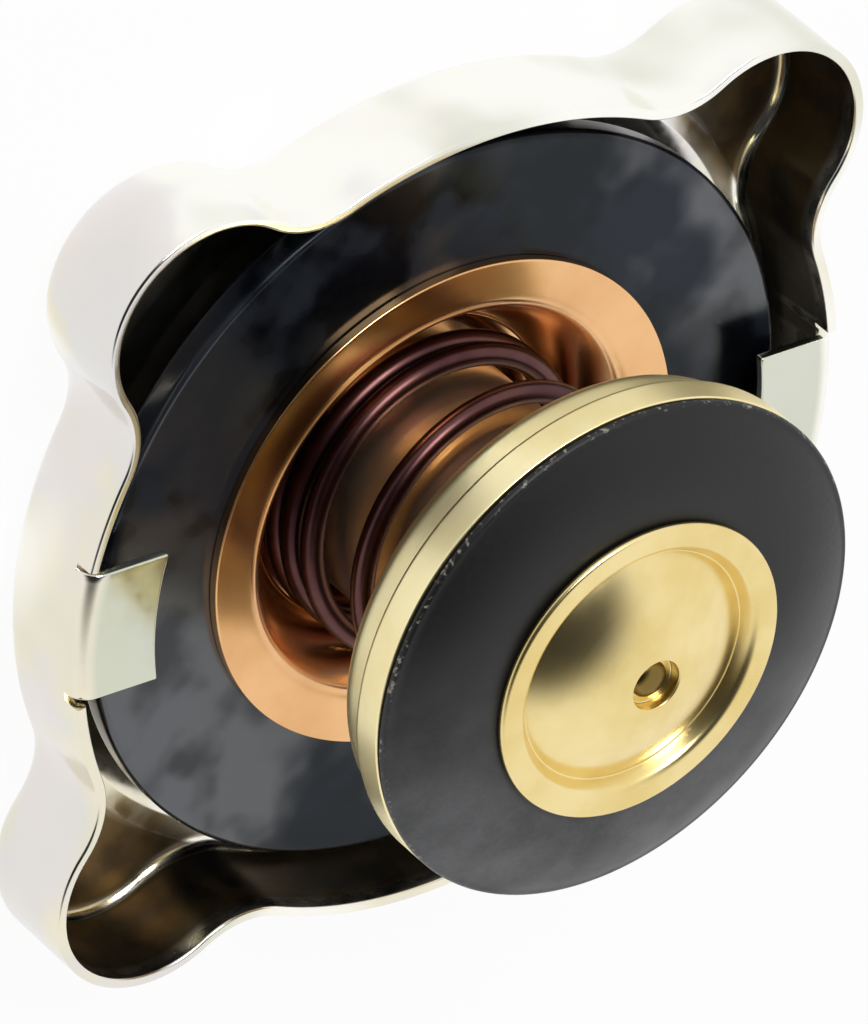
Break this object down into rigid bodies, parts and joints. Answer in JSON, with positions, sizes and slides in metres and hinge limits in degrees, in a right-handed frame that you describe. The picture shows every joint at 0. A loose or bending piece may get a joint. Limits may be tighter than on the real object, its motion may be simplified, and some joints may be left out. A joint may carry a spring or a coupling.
{
  "type": "radiator cap",
  "caption": "Pressed steel radiator pressure cap with grip ears, bayonet tabs, neck gasket, spring-loaded pressure valve and central vacuum valve.",
  "frame": {"origin": "middle of the crown's outer face, which the cap lies on", "axes": "+Z out of the valve side along the cap's axis, +X and +Y towards two of the ears"},
  "size_m": [0.073, 0.073, 0.0286],
  "materials": {
    "zinc_plate": "satin zinc plate with a faint yellow and blue tint",
    "rivet_steel": "satin",
    "disc_steel": "satin spring steel",
    "gasket_rubber": "dark blue grey, slightly shiny",
    "seat_copper": "bright copper",
    "bell_bronze": "satin bronze",
    "spring_wire": "dark purple brown wire",
    "plate_brass": "satin brass",
    "seal_rubber": "matte black",
    "dish_brass": "polished pale brass",
    "light_wire": "plain wire"
  },
  "bodies": {
    "shell": {"cap_shell": "zinc_plate", "centre_rivet": "rivet_steel"},
    "carrier": {"spring_disc": "disc_steel", "gasket": "gasket_rubber", "spring_seat": "seat_copper", "bell": "bell_bronze", "main_spring": "spring_wire"},
    "pressure_stage": {"valve_plate": "plate_brass", "pressure_seal": "seal_rubber", "vacuum_spring": "light_wire"},
    "vacuum_stage": {"vacuum_valve": "dish_brass", "vacuum_stem": "dish_brass", "stem_washer": "rivet_steel"}
  },
  "joints": [
    {"name": "carrier_swivel", "type": "hinge", "parent": "shell", "child": "carrier", "pos_m": [0, 0, 0], "axis": [0, 0, 1], "continuous": true},
    {"name": "pressure_lift", "type": "slide", "parent": "carrier", "child": "pressure_stage", "axis": [0, 0, -1], "range_m": [0, 0.003], "stiffness_N_per_m": 3700, "deforming": ["main_spring"]},
    {"name": "vacuum_open", "type": "slide", "parent": "pressure_stage", "child": "vacuum_stage", "axis": [0, 0, 1], "range_m": [0, 0.002], "stiffness_N_per_m": 300, "deforming": ["vacuum_spring"]}
  ]
}
